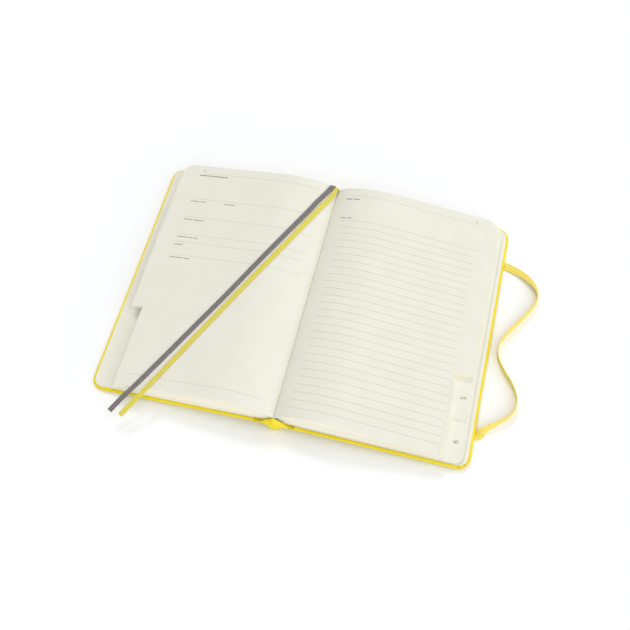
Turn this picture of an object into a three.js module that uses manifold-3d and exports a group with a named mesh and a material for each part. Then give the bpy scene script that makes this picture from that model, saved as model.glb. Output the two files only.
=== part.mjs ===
// A thick hard-cover journal lying open on a table. Millimetres, +Z up, +X across the open
// book to the right, +Y along the spine to the head. The origin is on the table, under the
// middle of the spine. The right half holds the back cover and the left half the front cover.
import * as THREE from "three";
import { mergeVertices } from "three/addons/utils/BufferGeometryUtils.js";
import Module from "manifold-3d";

const wasm = await Module();
wasm.setup();

const CUT_PAST = 5; // how far a cutting shape reaches past what it cuts

// Covers
const COVER_HEIGHT = 210;
const COVER_REACH = 131.5; // groove axis to fore-edge
const COVER_THICK = 2.5;
const COVER_CORNER = 9;
const CLOTH_THICK = 0.35;
const TURN_IN = 12; // cloth turned over the board's inner face
const BOARD_GAP = 0.1; // between board and cloth
const BOARD_START = 3.5; // groove axis to the board's spine edge

// Spine
const SPINE_HALF = 12; // spine centre to groove axis
const JOINT_HALF = 1; // groove axis to the edge of the spine cloth
const SPINE_FLAT_HALF = SPINE_HALF - JOINT_HALF;
const SPINE_FLAT_STRIP = 2.6; // flat cloth on each side of the fold
const SPINE_FOLD_HALF = SPINE_FLAT_HALF - SPINE_FLAT_STRIP; // the fold hangs below the covers
const GROOVE_HEIGHT = 7; // underside of the covers at the groove, above the table
const SPINE_CLOTH_THICK = 0.5;
const SPINE_LINING_THICK = 0.4;
const JOINT_CLEAR = 0.3;

// Paper
const SQUARE = 2; // cover beyond the pages at head and tail
const PAGE_HEIGHT = COVER_HEIGHT - 2 * SQUARE;
const LEAF_WIDTH = 129.8;
const PAGE_CORNER = 9;
const SIGNATURE_THICK = 1.5;
const OPEN_PITCH = 1.85; // one gathering to the next at the fore-edge, leaves lying loose
const LEFT_SIGNATURES = 6;
const RIGHT_SIGNATURES = 5;
const ENDPAPER_THICK = 0.3;
const FLYLEAF_THICK = 0.25;
const SHEET_GAP = 0.1;
const FLAT_FROM = 45; // x where a leaf stops curving out of the gutter
const FOLD_CLEAR = 0.3;
const TOP_SLOPE = THREE.MathUtils.degToRad(7.9); // fall of the top page to the fore-edge
const ROOT_FROM_GROOVE = 4.4; // groove axis to the root of the lowest gathering
const ROOT_LOW_X = SPINE_HALF - ROOT_FROM_GROOVE;
const ROOT_TOP_X = 0.9;
const ROOT_TOP_HEIGHT = 16.8; // root of the top gathering above the table
const ARCH_LOSS = 2.6; // reach that the top page loses to its arch
const ROOT_THICK_SHARE = 0.55; // a gathering is pressed thinner at its sewn fold

// Step-cut index
const TAB_PITCH = 33.3;
const TAB_DEPTH = 10;

// Back pocket
const POCKET_DEPTH = 1.2; // pastedown to the panel's outer face
const POCKET_PANEL_THICK = 0.3;
const POCKET_START = 12; // groove axis to the pocket's mouth
const POCKET_EDGE = 5; // pocket to the cover's fore-edge
const POCKET_MARGIN = 4; // pocket to the cover's head and tail
const POCKET_HALF = COVER_HEIGHT / 2 - POCKET_MARGIN;
const GUSSET_MARGIN = 1; // gusset to the pocket's head and tail
const GUSSET_DEPTH = 11;
const GUSSET_SHEET = 0.2; // thickness of the gusset cloth
const GUSSET_WALL = 0.4; // crease of its fold

// Binding
const MULL_THICK = 0.3;
const THREAD_THICK = 0.25;
const THREAD_WIDTH = 1.2;
const THREAD_SHARES = [-0.78, -0.39, 0, 0.39, 0.78]; // of half the page height
const MULL_MARGIN = 10; // gauze to the head and tail of the pages
const BACK_CLEAR = 0.75; // gathering folds to the thread

// Elastic closure
const ELASTIC_THICK = 0.8;
const ELASTIC_WIDTH = 7;
const ELASTIC_SEAT = 0.25; // cover to the elastic under it
const ELASTIC_SLOT = 14; // fore-edge to the slot that the elastic comes through
const ELASTIC_FROM_HEAD = 33; // cover's head to the middle of the elastic's first end
const ELASTIC_FROM_TAIL = 29;
const ELASTIC_EXIT_HEAD = COVER_HEIGHT / 2 - ELASTIC_FROM_HEAD;
const ELASTIC_EXIT_TAIL = ELASTIC_FROM_TAIL - COVER_HEIGHT / 2;
const SLOT_CLEAR = 0.2;

// Ribbons
const RIBBON_WIDTH = 4;
const RIBBON_THICK = 0.4;
const CORD_STEPS = 4; // sections drawn from one route point to the next

// Routes of the ribbons: x, y as a share of half the page height, height above the open left
// page, and roll in degrees about the ribbon's own line, which is level across at no roll. Each
// ribbon starts under the back of the block, turns up behind its head, crosses the left page
// and sticks out at the tail.
const GREY_RIBBON_ROOT = [
  [-3.3, 0.917, -8.18, -41],
  [-3.3, 0.985, -8.18, -41],
  [-3.5, 1.009, -7.7, -24],
  [-4, 1.013, -5.9, 0],
  [-4.3, 1.013, -0.5, 0],
  [-4.4, 1.005, 1.45, -6],
  [-4.6, 0.988, 1.9, -16],
  [-6.4, 0.95, 0.72, -27],
  [-8.4, 0.903, 0.66, -24],
  [-13.2, 0.796, 0.63, -17],
  [-17.9, 0.683, 0.62, -12],
  [-22.4, 0.586, 0.61, -7],
  [-28.4, 0.461, 0.59, -3],
  [-34, 0.345, 0.57, 0],
  [-39.6, 0.233, 0.56, 4],
  [-45, 0.128, 0.52, 8],
];
const GREY_RIBBON_LYING = [
  [-45.4, 0.12, 0.52, 8],
  [-60.1, -0.165, 0.53, 9],
  [-75.1, -0.443, 0.53, 9],
  [-90.1, -0.721, 0.53, 9],
  [-105.9, -1.01, 0.53, 9],
];
const GREY_RIBBON_TAIL = [
  [-106.1, -1.014, 0.51, 9],
  [-108.6, -1.051, 0.16, 8],
  [-112.6, -1.107, -1.3, 5],
  [-118.6, -1.198, -3.66, 2],
];
const YELLOW_RIBBON_ROOT = [
  [-2.15, 0.917, -5.24, -41],
  [-2.15, 0.985, -5.24, -41],
  [-1.9, 1.001, -4.15, -20],
  [-1.7, 1.0055, -2.1, 0],
  [-1.6, 1.0055, 1.2, 0],
  [-1.6, 0.999, 2.3, -8],
  [-1.7, 0.986, 2.42, -20],
  [-2.2, 0.944, 1.05, -36],
  [-3.4, 0.903, 0.8, -35],
  [-8, 0.79, 0.65, -24],
  [-12.9, 0.676, 0.62, -17],
  [-18.4, 0.55, 0.62, -12],
  [-24.5, 0.413, 0.6, -7],
  [-31, 0.274, 0.57, -3],
  [-38, 0.132, 0.56, 1],
  [-45, -0.004, 0.52, 8],
];
const YELLOW_RIBBON_LYING = [
  [-45.4, -0.012, 0.52, 8],
  [-60.1, -0.297, 0.53, 9],
  [-74.1, -0.57, 0.53, 9],
  [-88.3, -0.85, 0.53, 9],
  [-96.35, -1.01, 0.53, 9],
];
const YELLOW_RIBBON_TAIL = [
  [-96.55, -1.014, 0.51, 9],
  [-98.7, -1.052, 0.13, 8],
  [-103.5, -1.119, -2.15, 5],
  [-110, -1.214, -4.85, 2],
];

// Route of the elastic: distance beyond the back cover's fore-edge, share of the way from its
// tail end to its head end, height above the table, and roll, with none where it is on edge.
const ELASTIC_ROUTE = [
  [0.36, 1, 0.45, 90],
  [2.06, 1, 0.5, 89],
  [8.16, 0.988, 0.95, 84],
  [16.66, 0.962, 1.6, 73],
  [23.56, 0.926, 2.35, 58],
  [28.06, 0.882, 3.2, 36],
  [29.66, 0.835, 3.64, 12],
  [28.46, 0.786, 3.64, 4],
  [20.26, 0.683, 3.64, 6],
  [10.16, 0.57, 3.64, 6],
  [6.36, 0.503, 3.64, 3],
  [7.06, 0.439, 3.64, 2],
  [12.66, 0.372, 3.64, 4],
  [20.56, 0.302, 3.64, 6],
  [25.56, 0.233, 3.64, 8],
  [25.86, 0.179, 3.64, 5],
  [22.26, 0.127, 3.64, 3],
  [16.16, 0.089, 3.64, 5],
  [10.46, 0.055, 3.6, 15],
  [6.76, 0.032, 3.38, 25],
  [4.76, 0.02, 2.78, 45],
  [3.26, 0.008, 1.55, 71],
  [1.86, 0, 0.56, 88],
  [0.36, 0, 0.45, 90],
];

const SIDES = {
  back: { sign: 1, lift: ELASTIC_THICK + ELASTIC_SEAT, count: RIGHT_SIGNATURES, pocket: POCKET_DEPTH },
  front: { sign: -1, lift: 0, count: LEFT_SIGNATURES, pocket: 0 },
};

const COLOURS = {
  cloth: { color: 0xf2dc1a, roughness: 0.55 },
  board: { color: 0x9a958c, roughness: 0.9 },
  paper: { color: 0xf0eee0, roughness: 0.85 },
  endpaper: { color: 0xf3f1e4, roughness: 0.85 },
  gusset: { color: 0xb9a98c, roughness: 0.95 },
  gauze: { color: 0xe9e5da, roughness: 0.95 },
  thread: { color: 0xf7f5ee, roughness: 0.8 },
  elastic: { color: 0xf0d968, roughness: 0.8 },
  greyRibbon: { color: 0x6f686d, roughness: 0.6 },
  yellowRibbon: { color: 0xdccb38, roughness: 0.6 },
};

const journal = new THREE.Group();

function addPiece(name, solid, finish) {
  const mesh = solid.getMesh();
  const geometry = new THREE.BufferGeometry();
  geometry.setAttribute("position", new THREE.BufferAttribute(new Float32Array(mesh.vertProperties), 3));
  geometry.setIndex(new THREE.BufferAttribute(new Uint32Array(mesh.triVerts), 1));
  const flat = geometry.toNonIndexed();
  flat.computeVertexNormals();
  const piece = new THREE.Mesh(flat, new THREE.MeshStandardMaterial({ ...COLOURS[finish], metalness: 0 }));
  piece.name = name;
  journal.add(piece);
}

function toSolid(geometry) {
  geometry.deleteAttribute("normal");
  geometry.deleteAttribute("uv");
  const merged = mergeVertices(geometry, 1e-5);
  return new wasm.Manifold(new wasm.Mesh({
    numProp: 3,
    vertProperties: new Float32Array(merged.attributes.position.array),
    triVerts: new Uint32Array(merged.index.array),
  }));
}

// A profile of [x, z] points drawn out along the spine, from the tail to the head.
function alongSpine(profile, tail, head) {
  const shape = new THREE.Shape(profile.map(([x, z]) => new THREE.Vector2(x, z)));
  const geometry = new THREE.ExtrudeGeometry(shape, { depth: head - tail, bevelEnabled: false });
  geometry.rotateX(Math.PI / 2);
  geometry.translate(0, head, 0);
  return toSolid(geometry);
}

// A plan outline drawn up through the whole height of the book.
function throughHeight(outline) {
  const bottom = -CUT_PAST;
  const top = 60;
  const geometry = new THREE.ExtrudeGeometry(outline, { depth: top - bottom, bevelEnabled: false });
  geometry.translate(0, 0, bottom);
  return toSolid(geometry);
}

function tiltOf(side) {
  return Math.asin((GROOVE_HEIGHT - side.lift) / COVER_REACH);
}

// A point of a cover: along is from the groove to the fore-edge, height above its underside.
function coverPoint(side, along, height) {
  const tilt = tiltOf(side);
  const x = SPINE_HALF + along * Math.cos(tilt) + height * Math.sin(tilt);
  const z = GROOVE_HEIGHT - along * Math.sin(tilt) + height * Math.cos(tilt);
  return [side.sign * x, z];
}

function coverProfile(side, from, to, low, high) {
  return [
    coverPoint(side, from, low),
    coverPoint(side, to, low),
    coverPoint(side, to, high),
    coverPoint(side, from, high),
  ];
}

// A plan outline with two round fore-edge corners. Below cutAt the fore-edge steps back.
function sheetOutline(sign, inner, outer, tail, head, radius, cutAt = null) {
  const outline = new THREE.Shape();
  const end = outer - radius;
  outline.moveTo(sign * inner, tail);
  if (cutAt === null) {
    outline.lineTo(sign * end, tail);
    roundCorner(outline, sign, end, tail + radius, radius, -Math.PI / 2, 0);
  } else {
    outline.lineTo(sign * (outer - TAB_DEPTH), tail);
    outline.lineTo(sign * (outer - TAB_DEPTH), cutAt);
    outline.lineTo(sign * outer, cutAt);
  }
  outline.lineTo(sign * outer, head - radius);
  roundCorner(outline, sign, end, head - radius, radius, 0, Math.PI / 2);
  outline.lineTo(sign * inner, head);
  outline.closePath();
  return outline;
}

function roundCorner(outline, sign, x, y, radius, from, to) {
  const steps = 8;
  for (let i = 1; i <= steps; i += 1) {
    const angle = from + ((to - from) * i) / steps;
    outline.lineTo(sign * (x + radius * Math.cos(angle)), y + radius * Math.sin(angle));
  }
}

// A strip of changing thickness on a centre line of [x, z] points.
function stripProfile(line, thickStart, thickEnd = thickStart) {
  const upper = [];
  const lower = [];
  line.forEach(([x, z], i) => {
    const before = line[Math.max(i - 1, 0)];
    const after = line[Math.min(i + 1, line.length - 1)];
    const run = new THREE.Vector2(after[0] - before[0], after[1] - before[1]).normalize();
    const share = i / (line.length - 1);
    const half = THREE.MathUtils.lerp(thickStart, thickEnd, share) / 2;
    upper.push([x - run.y * half, z + run.x * half]);
    lower.push([x + run.y * half, z - run.x * half]);
  });
  return [...lower, ...upper.reverse()];
}

function curveLine(points, steps) {
  const [a, b, c, d] = points.map(([x, z]) => new THREE.Vector2(x, z));
  const curve = new THREE.CubicBezierCurve(a, b, c, d);
  return curve.getPoints(steps).map((p) => [p.x, p.y]);
}

// Book-cloth tray of one cover: wrapped round the board and turned in over its edges.
function coverCloth(side) {
  const edge = COVER_HEIGHT / 2;
  const reach = Math.abs(coverPoint(side, COVER_REACH, 0)[0]);
  const start = Math.abs(coverPoint(side, BOARD_START, 0)[0]);
  const wall = CLOTH_THICK;
  const outer = alongSpine(coverProfile(side, BOARD_START, COVER_REACH, 0, COVER_THICK), -edge, edge)
    .intersect(throughHeight(sheetOutline(side.sign, start - CUT_PAST, reach, -edge, edge, COVER_CORNER)));
  const cavity = alongSpine(
    coverProfile(side, BOARD_START - 1, COVER_REACH - wall, wall, COVER_THICK - wall),
    -edge + wall,
    edge - wall,
  ).intersect(throughHeight(
    sheetOutline(side.sign, start - CUT_PAST, reach - wall, wall - edge, edge - wall, COVER_CORNER - wall),
  ));
  const opening = alongSpine(
    coverProfile(side, BOARD_START - 1, COVER_REACH - TURN_IN, COVER_THICK - 2 * wall, COVER_THICK + 1),
    -edge + TURN_IN,
    edge - TURN_IN,
  );
  return outer.subtract(cavity).subtract(opening);
}

function coverBoard(side) {
  const inset = CLOTH_THICK + BOARD_GAP;
  const edge = COVER_HEIGHT / 2 - inset;
  const reach = Math.abs(coverPoint(side, COVER_REACH, 0)[0]) - inset;
  return alongSpine(
    coverProfile(side, BOARD_START, COVER_REACH - inset, inset, COVER_THICK - inset),
    -edge,
    edge,
  ).intersect(throughHeight(
    sheetOutline(side.sign, SPINE_HALF, reach, -edge, edge, COVER_CORNER - inset),
  ));
}

// Endpaper pasted to the inside of a cover, 2 mm short of its edges.
function pastedown(side) {
  const inset = 2;
  const low = COVER_THICK + SHEET_GAP;
  const edge = COVER_HEIGHT / 2 - inset;
  const reach = Math.abs(coverPoint(side, COVER_REACH - inset, low)[0]);
  return alongSpine(
    coverProfile(side, BOARD_START, COVER_REACH - inset, low, low + ENDPAPER_THICK),
    -edge,
    edge,
  ).intersect(throughHeight(
    sheetOutline(side.sign, SPINE_HALF, reach, -edge, edge, COVER_CORNER - inset),
  ));
}

function addCover(side, name, slots) {
  let cloth = coverCloth(side);
  let board = coverBoard(side);
  for (const slot of slots) {
    cloth = cloth.subtract(slot);
    board = board.subtract(slot);
  }
  addPiece(`${name}_cover_cloth`, cloth, "cloth");
  addPiece(`${name}_board`, board, "board");
  addPiece(`${name}_pastedown`, pastedown(side), "endpaper");
}

// The slot through the back cover near its fore-edge, one at the head and one at the tail.
function elasticSlot(y) {
  const half = ELASTIC_WIDTH / 2 + SLOT_CLEAR;
  const from = COVER_REACH - ELASTIC_SLOT - SLOT_CLEAR;
  const to = from + ELASTIC_THICK + 2 * SLOT_CLEAR;
  const profile = coverProfile(SIDES.back, from, to, -1, COVER_THICK - CLOTH_THICK / 2);
  return alongSpine(profile, y - half, y + half);
}

// The fixed end of the elastic: up through the slot, then out under the cover's fore-edge.
function elasticEnd(y) {
  const side = SIDES.back;
  const inner = COVER_REACH - ELASTIC_SLOT;
  const high = -ELASTIC_SEAT;
  const low = high - ELASTIC_THICK;
  const top = COVER_THICK - CLOTH_THICK - BOARD_GAP;
  const profile = [
    coverPoint(side, inner, low),
    coverPoint(side, COVER_REACH, low),
    coverPoint(side, COVER_REACH, high),
    coverPoint(side, inner + ELASTIC_THICK, high),
    coverPoint(side, inner + ELASTIC_THICK, top),
    coverPoint(side, inner, top),
  ];
  return alongSpine(profile, y - ELASTIC_WIDTH / 2, y + ELASTIC_WIDTH / 2);
}

// Spine cloth: flat at the grooves and folded down to the table between them.
function spineFoldLine(halfWidth, drop, rise) {
  const top = GROOVE_HEIGHT + rise;
  const bottom = top - drop;
  const left = curveLine([[-halfWidth, top], [-halfWidth * 0.55, top - drop * 0.28],
    [-halfWidth * 0.42, bottom], [0, bottom]], 8);
  const right = left.slice(0, -1).reverse().map(([x, z]) => [-x, z]);
  return [...left, ...right];
}

function spineCloth() {
  const rise = SPINE_CLOTH_THICK / 2;
  const fold = spineFoldLine(SPINE_FOLD_HALF, GROOVE_HEIGHT, rise);
  const line = [[-SPINE_FLAT_HALF, GROOVE_HEIGHT + rise], ...fold, [SPINE_FLAT_HALF, GROOVE_HEIGHT + rise]];
  const half = COVER_HEIGHT / 2;
  return alongSpine(stripProfile(line, SPINE_CLOTH_THICK), -half, half);
}

// Paper lining inside the spine cloth, which keeps it stiff.
function spineLining() {
  const step = SPINE_CLOTH_THICK + SHEET_GAP;
  const rise = step + SPINE_LINING_THICK / 2;
  const line = spineFoldLine(SPINE_FOLD_HALF - step, GROOVE_HEIGHT - step, rise);
  const half = COVER_HEIGHT / 2 - 2;
  return alongSpine(stripProfile(line, SPINE_LINING_THICK), -half, half);
}

// The strip of cover cloth that bends in the groove between a board and the spine.
function jointCloth(side) {
  const rise = SPINE_CLOTH_THICK / 2;
  const end = coverPoint(side, BOARD_START - JOINT_CLEAR, rise);
  const line = [
    [side.sign * (SPINE_FLAT_HALF + JOINT_CLEAR), GROOVE_HEIGHT + rise],
    coverPoint(side, 0, rise),
    end,
  ];
  const half = COVER_HEIGHT / 2;
  return alongSpine(stripProfile(line, SPINE_CLOTH_THICK), -half, half);
}

// Height of the lowest gathering's underside above the cover's underside.
function stackBase(side) {
  return COVER_THICK + ENDPAPER_THICK + side.pocket + FLYLEAF_THICK + 3 * SHEET_GAP;
}

function coverHeightAt(side, x, height) {
  const tilt = tiltOf(side);
  const along = (x - SPINE_HALF - height * Math.sin(tilt)) / Math.cos(tilt);
  return coverPoint(side, along, height)[1];
}

function rootLowHeight() {
  return GROOVE_HEIGHT + stackBase(SIDES.back) + (SIGNATURE_THICK * ROOT_THICK_SHARE) / 2;
}

// The centre line of a gathering. The share is 0 on the cover and 1 at the open pages.
function leafLine(side, index) {
  const lerp = THREE.MathUtils.lerp;
  const share = shareOf(side, index);
  const tilt = lerp(tiltOf(side), TOP_SLOPE, share);
  const rootX = lerp(ROOT_LOW_X, ROOT_TOP_X, share);
  const rootZ = lerp(rootLowHeight(), ROOT_TOP_HEIGHT, share);
  const endX = rootX + LEAF_WIDTH - ARCH_LOSS * share;
  const rise = stackBase(side) + SIGNATURE_THICK / 2 + index * OPEN_PITCH;
  const endZ = coverHeightAt(side, endX, rise);
  const flatZ = endZ + (endX - FLAT_FROM) * Math.tan(tilt);
  return { tilt, root: [rootX, rootZ], flat: [FLAT_FROM, flatZ], end: [endX, endZ] };
}

function mirrored(side, points) {
  return points.map(([x, z]) => [side.sign * x, z]);
}

function shareOf(side, index) {
  return index / (side.count - 1);
}

// Below this height on the page the leaves of a gathering are cut back for later tabs.
function cutHeight(side, index) {
  if (side.sign > 0 && index === 0) {
    return null;
  }
  const tabs = side.sign > 0 ? Math.min(index, 2) : THREE.MathUtils.clamp(6 - index, 2, 5);
  return -PAGE_HEIGHT / 2 + tabs * TAB_PITCH;
}

function signature(side, index) {
  const leaf = leafLine(side, index);
  const start = FLAT_FROM + FOLD_CLEAR;
  const startZ = leaf.flat[1] - FOLD_CLEAR * Math.tan(leaf.tilt);
  const line = mirrored(side, [[start, startZ], leaf.end]);
  const half = PAGE_HEIGHT / 2;
  const outline = sheetOutline(side.sign, start - CUT_PAST, leaf.end[0], -half, half, PAGE_CORNER,
    cutHeight(side, index));
  return alongSpine(stripProfile(line, SIGNATURE_THICK), -half, half).intersect(throughHeight(outline));
}

// Centre line of the part of a gathering that curves out of the gutter.
function foldLine(side, index) {
  const share = shareOf(side, index);
  const leaf = leafLine(side, index);
  const rise = THREE.MathUtils.degToRad(60) * share - tiltOf(side) * (1 - share);
  const lift = THREE.MathUtils.lerp(12, 9, share);
  const ease = 16;
  return curveLine([
    leaf.root,
    [leaf.root[0] + lift * Math.cos(rise), leaf.root[1] + lift * Math.sin(rise)],
    [leaf.flat[0] - ease * Math.cos(leaf.tilt), leaf.flat[1] + ease * Math.sin(leaf.tilt)],
    leaf.flat,
  ], 9);
}

// The sewn part of a gathering, which bends when the book opens and closes.
function signatureFold(side, index) {
  const line = mirrored(side, foldLine(side, index));
  const half = PAGE_HEIGHT / 2;
  return alongSpine(stripProfile(line, SIGNATURE_THICK * ROOT_THICK_SHARE, SIGNATURE_THICK), -half, half);
}

// Height of the open left page, out from the middle of the spine and on past its fore-edge.
function pageHeightAt(distance) {
  const side = SIDES.front;
  const top = side.count - 1;
  const line = [...foldLine(side, top), leafLine(side, top).end];
  const beyond = line.findIndex(([x]) => x > distance);
  const next = THREE.MathUtils.clamp(beyond < 0 ? line.length : beyond, 1, line.length - 1);
  const [x, z] = line[next - 1];
  const slope = (line[next][1] - z) / (line[next][0] - x);
  const grown = THREE.MathUtils.clamp(distance / FLAT_FROM, 0, 1);
  const half = (SIGNATURE_THICK / 2) * THREE.MathUtils.lerp(ROOT_THICK_SHARE, 1, grown);
  return z + (distance - x) * slope + half * Math.hypot(1, slope);
}

// First or last loose leaf, which lies between the endpaper and the lowest gathering.
function flyleaf(side) {
  const leaf = leafLine(side, 0);
  const low = stackBase(side) - SHEET_GAP - FLYLEAF_THICK;
  const half = PAGE_HEIGHT / 2;
  const profile = coverProfile(side, FLAT_FROM - SPINE_HALF, leaf.end[0] - SPINE_HALF + CUT_PAST,
    low, low + FLYLEAF_THICK);
  const outline = sheetOutline(side.sign, SPINE_HALF, leaf.end[0], -half, half, PAGE_CORNER);
  return alongSpine(profile, -half, half).intersect(throughHeight(outline));
}

// The line of the gatherings' folds, from the left root over the apex to the right root.
function backLine(offset) {
  const low = [ROOT_LOW_X, rootLowHeight()];
  const fall = new THREE.Vector2(low[0] - ROOT_TOP_X, low[1] - ROOT_TOP_HEIGHT).normalize();
  const foot = [low[0] + fall.y * offset, low[1] - fall.x * offset];
  const apex = [0, low[1] - (low[0] * fall.y + offset) / fall.x];
  return [[-foot[0], foot[1]], apex, foot];
}

function mull() {
  const offset = BACK_CLEAR + THREAD_THICK + SHEET_GAP + MULL_THICK / 2;
  const half = PAGE_HEIGHT / 2 - MULL_MARGIN;
  return alongSpine(stripProfile(backLine(offset), MULL_THICK), -half, half);
}

function sewingThread(station) {
  const line = backLine(BACK_CLEAR + THREAD_THICK / 2);
  const half = THREAD_WIDTH / 2;
  return alongSpine(stripProfile(line, THREAD_THICK), station - half, station + half);
}

// Pocket panel: a card sheet over the back pastedown, open towards the spine.
function pocketPanel() {
  const side = SIDES.back;
  const top = COVER_THICK + ENDPAPER_THICK + SHEET_GAP + POCKET_DEPTH;
  const half = POCKET_HALF;
  const outer = coverPoint(side, COVER_REACH - POCKET_EDGE, top)[0];
  const profile = coverProfile(side, POCKET_START, COVER_REACH - POCKET_EDGE, top - POCKET_PANEL_THICK, top);
  const outline = sheetOutline(1, SPINE_HALF, outer, -half, half, PAGE_CORNER);
  return alongSpine(profile, -half, half).intersect(throughHeight(outline));
}

// Cloth gusset that closes one end of the pocket: folded once, with its crease inside.
function pocketGusset(sign) {
  const side = SIDES.back;
  const low = COVER_THICK + ENDPAPER_THICK + 2 * SHEET_GAP;
  const high = COVER_THICK + ENDPAPER_THICK + POCKET_DEPTH - POCKET_PANEL_THICK;
  const edge = POCKET_HALF - GUSSET_MARGIN;
  const inner = edge - GUSSET_DEPTH;
  const crease = inner + GUSSET_WALL;
  const profile = [
    [inner, low],
    [edge, low],
    [edge, low + GUSSET_SHEET],
    [crease, low + GUSSET_SHEET],
    [crease, high - GUSSET_SHEET],
    [edge, high - GUSSET_SHEET],
    [edge, high],
    [inner, high],
  ];
  const from = POCKET_START + GUSSET_DEPTH;
  const to = COVER_REACH - POCKET_EDGE - PAGE_CORNER;
  const shape = new THREE.Shape(profile.map(([y, height]) => new THREE.Vector2(sign * y, height)));
  const geometry = new THREE.ExtrudeGeometry(shape, { depth: to - from, bevelEnabled: false });
  const tilt = tiltOf(side);
  const [x, z] = coverPoint(side, from, 0);
  geometry.applyMatrix4(new THREE.Matrix4().makeBasis(
    new THREE.Vector3(0, 1, 0),
    new THREE.Vector3(Math.sin(tilt), 0, Math.cos(tilt)),
    new THREE.Vector3(Math.cos(tilt), 0, -Math.sin(tilt)),
  ).setPosition(x, 0, z));
  return toSolid(geometry);
}

// A flat band drawn along a route. The reference is the way across the band at no roll.
function flatCord(route, width, thick, reference) {
  const curve = new THREE.CatmullRomCurve3(route.map(([x, y, z]) => new THREE.Vector3(x, y, z)));
  const spans = route.length - 1;
  const steps = spans * CORD_STEPS;
  const w = width / 2;
  const t = thick / 2;
  const cut = thick * 0.3;
  const section = [[w, t - cut], [w - cut, t], [cut - w, t], [-w, t - cut], [-w, cut - t], [cut - w, -t],
    [w - cut, -t], [w, cut - t]];
  const vertices = [];
  for (let i = 0; i <= steps; i += 1) {
    const place = curve.getPoint(i / steps);
    const tangent = curve.getTangent(i / steps);
    const span = Math.min(Math.floor(i / CORD_STEPS), spans - 1);
    const roll = THREE.MathUtils.lerp(route[span][3], route[span + 1][3], i / CORD_STEPS - span);
    const across = reference.clone().addScaledVector(tangent, -tangent.dot(reference)).normalize();
    across.applyAxisAngle(tangent, THREE.MathUtils.degToRad(roll));
    const normal = new THREE.Vector3().crossVectors(tangent, across);
    for (const [a, b] of section) {
      const corner = place.clone().addScaledVector(across, a).addScaledVector(normal, b);
      vertices.push(corner.x, corner.y, corner.z);
    }
  }
  const faces = [];
  const sides = section.length;
  for (let i = 0; i < steps; i += 1) {
    for (let j = 0; j < sides; j += 1) {
      const a = i * sides + j;
      const b = i * sides + ((j + 1) % sides);
      faces.push(a, b, b + sides, a, b + sides, a + sides);
    }
  }
  const last = steps * sides;
  for (let j = 1; j < sides - 1; j += 1) {
    faces.push(0, j + 1, j, last, last + j, last + j + 1);
  }
  return new wasm.Manifold(new wasm.Mesh({
    numProp: 3,
    vertProperties: new Float32Array(vertices),
    triVerts: new Uint32Array(faces),
  }));
}

function addRibbon(name, finish, parts) {
  const level = new THREE.Vector3(1, 0, 0);
  for (const [part, route] of Object.entries(parts)) {
    const points = route.map(([x, share, lift, roll]) => (
      [x, (share * PAGE_HEIGHT) / 2, pageHeightAt(-x) + lift, roll]
    ));
    addPiece(`${name}_${part}`, flatCord(points, RIBBON_WIDTH, RIBBON_THICK, level), finish);
  }
}

function addElasticBand() {
  const edge = coverPoint(SIDES.back, COVER_REACH, -ELASTIC_SEAT - ELASTIC_THICK / 2)[0];
  const points = ELASTIC_ROUTE.map(([out, share, z, roll]) => (
    [edge + out, THREE.MathUtils.lerp(ELASTIC_EXIT_TAIL, ELASTIC_EXIT_HEAD, share), z, roll]
  ));
  const onEdge = new THREE.Vector3(0, 0, 1);
  addPiece("elastic_band", flatCord(points, ELASTIC_WIDTH, ELASTIC_THICK, onEdge), "elastic");
}

function addHalf(side, hand) {
  for (let i = 0; i < side.count; i += 1) {
    addPiece(`${hand}_signature_${i + 1}`, signature(side, i), "paper");
    addPiece(`${hand}_signature_fold_${i + 1}`, signatureFold(side, i), "paper");
  }
}

const elasticSlots = [elasticSlot(ELASTIC_EXIT_HEAD), elasticSlot(ELASTIC_EXIT_TAIL)];
addCover(SIDES.back, "back", elasticSlots);
addCover(SIDES.front, "front", []);
addPiece("elastic_end_head", elasticEnd(ELASTIC_EXIT_HEAD), "elastic");
addPiece("elastic_end_tail", elasticEnd(ELASTIC_EXIT_TAIL), "elastic");
addPiece("pocket_panel", pocketPanel(), "endpaper");
addPiece("pocket_gusset_head", pocketGusset(1), "gusset");
addPiece("pocket_gusset_tail", pocketGusset(-1), "gusset");
addPiece("spine_cloth", spineCloth(), "cloth");
addPiece("spine_lining", spineLining(), "endpaper");
addPiece("back_joint_cloth", jointCloth(SIDES.back), "cloth");
addPiece("front_joint_cloth", jointCloth(SIDES.front), "cloth");
addPiece("spine_mull", mull(), "gauze");
THREAD_SHARES.forEach((share, i) => {
  addPiece(`sewing_thread_${i + 1}`, sewingThread((share * PAGE_HEIGHT) / 2), "thread");
});
addPiece("front_flyleaf", flyleaf(SIDES.front), "endpaper");
addPiece("back_flyleaf", flyleaf(SIDES.back), "endpaper");
addHalf(SIDES.front, "left");
addHalf(SIDES.back, "right");
addRibbon("grey_ribbon", "greyRibbon", {
  root: GREY_RIBBON_ROOT,
  lying: GREY_RIBBON_LYING,
  tail: GREY_RIBBON_TAIL,
});
addRibbon("yellow_ribbon", "yellowRibbon", {
  root: YELLOW_RIBBON_ROOT,
  lying: YELLOW_RIBBON_LYING,
  tail: YELLOW_RIBBON_TAIL,
});
addElasticBand();

export default journal;
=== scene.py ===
import functools
import math
import random

import bpy
import numpy as np
from mathutils import Matrix, Vector


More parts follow.
